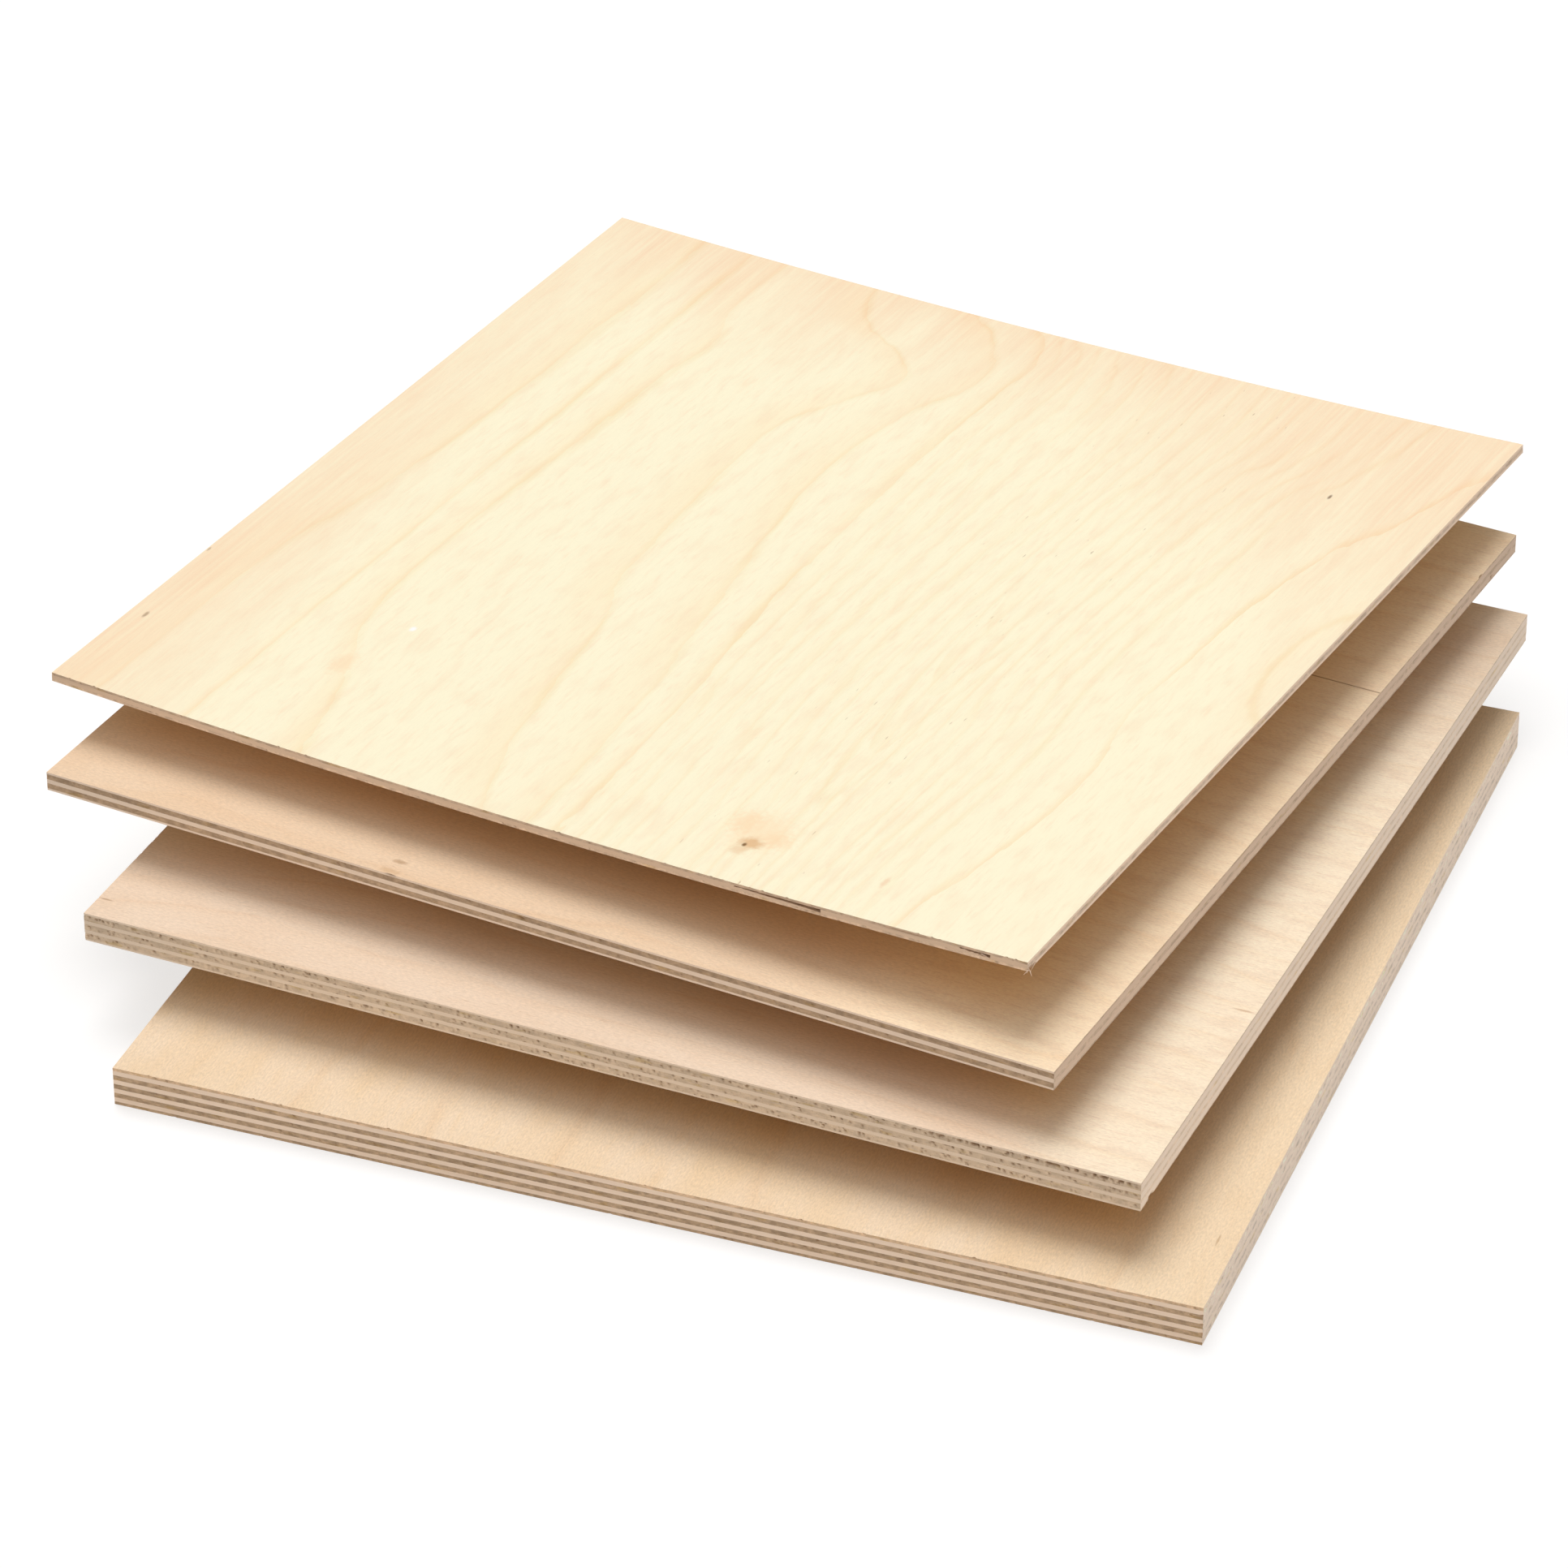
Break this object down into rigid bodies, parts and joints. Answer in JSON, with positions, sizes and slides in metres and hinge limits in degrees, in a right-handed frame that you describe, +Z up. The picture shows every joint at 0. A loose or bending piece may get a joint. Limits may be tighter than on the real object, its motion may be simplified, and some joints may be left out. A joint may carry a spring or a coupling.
{
  "type": "stack of plywood sheets",
  "caption": "Fanned stack of square birch plywood sheets of rising thickness, each turned and set back from the one below and kept apart by hidden stickers; the thin top sheet is cupped.",
  "frame": {"origin": "middle of the bottom sheet's underside, on the surface the stack lies on", "axes": "+X along the bottom sheet's front edge to the right, +Y to its back edge, +Z up through the stack"},
  "size_m": [0.3629, 0.3968, 0.0736],
  "materials": {
    "face_veneer": "sanded, unfinished birch",
    "crossband": "sawn end, unfinished birch",
    "core": "sawn, unfinished birch",
    "sticker": "sawn, unfinished softwood"
  },
  "bodies": {
    "root": {"bottom_back": "face_veneer", "bottom_crossband_1": "crossband", "bottom_core_1": "core", "bottom_crossband_2": "crossband", "bottom_core_2": "core", "bottom_crossband_3": "crossband", "bottom_core_3": "core", "bottom_crossband_4": "crossband", "bottom_face": "face_veneer", "lower_back": "face_veneer", "lower_crossband_1": "crossband", "lower_core_1": "core", "lower_crossband_2": "crossband", "lower_core_2": "core", "lower_crossband_3": "crossband", "lower_face": "face_veneer", "upper_back": "face_veneer", "upper_crossband_1": "crossband", "upper_core_1": "core", "upper_crossband_2": "crossband", "upper_face": "face_veneer", "top_back": "face_veneer", "top_crossband_1": "crossband", "top_face": "face_veneer", "lower_sticker_left": "sticker", "lower_sticker_right": "sticker", "upper_sticker_left": "sticker", "upper_sticker_right": "sticker", "top_sticker_left": "sticker", "top_sticker_right": "sticker"}
  },
  "joints": []
}
